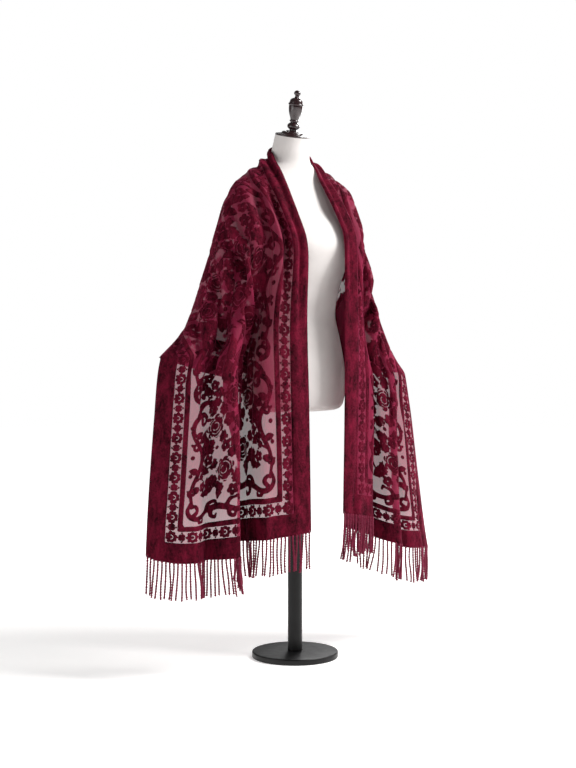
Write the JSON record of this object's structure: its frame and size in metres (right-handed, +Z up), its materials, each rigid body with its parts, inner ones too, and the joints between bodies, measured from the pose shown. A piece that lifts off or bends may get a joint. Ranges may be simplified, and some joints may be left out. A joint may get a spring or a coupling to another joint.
{
  "type": "evening stole on dress form",
  "caption": "Burnout velvet evening stole with knotted fringe, worn open over a limbless dress form that stands on a pole and a round foot.",
  "frame": {"origin": "centre of the foot's flat underside, on the floor", "axes": "+Z up along the pole, -Y the way the form faces, -X the wearer's right"},
  "size_m": [1.0065, 0.3579, 1.6707],
  "materials": {
    "velvet": "wine burnout velvet on a sheer ground",
    "fringe": "twisted wine yarn",
    "jersey": "ivory jersey",
    "wood": "dark turned wood, glossy",
    "black": "black satin"
  },
  "bodies": {
    "root": {"stole_back": "velvet", "stole_front_right": "velvet", "stole_front_left": "velvet", "fringe_right": "fringe", "fringe_left": "fringe", "form_torso": "jersey", "neck_cap": "wood", "neck_finial": "wood", "stand_pole": "black", "stand_foot": "black"}
  },
  "joints": []
}
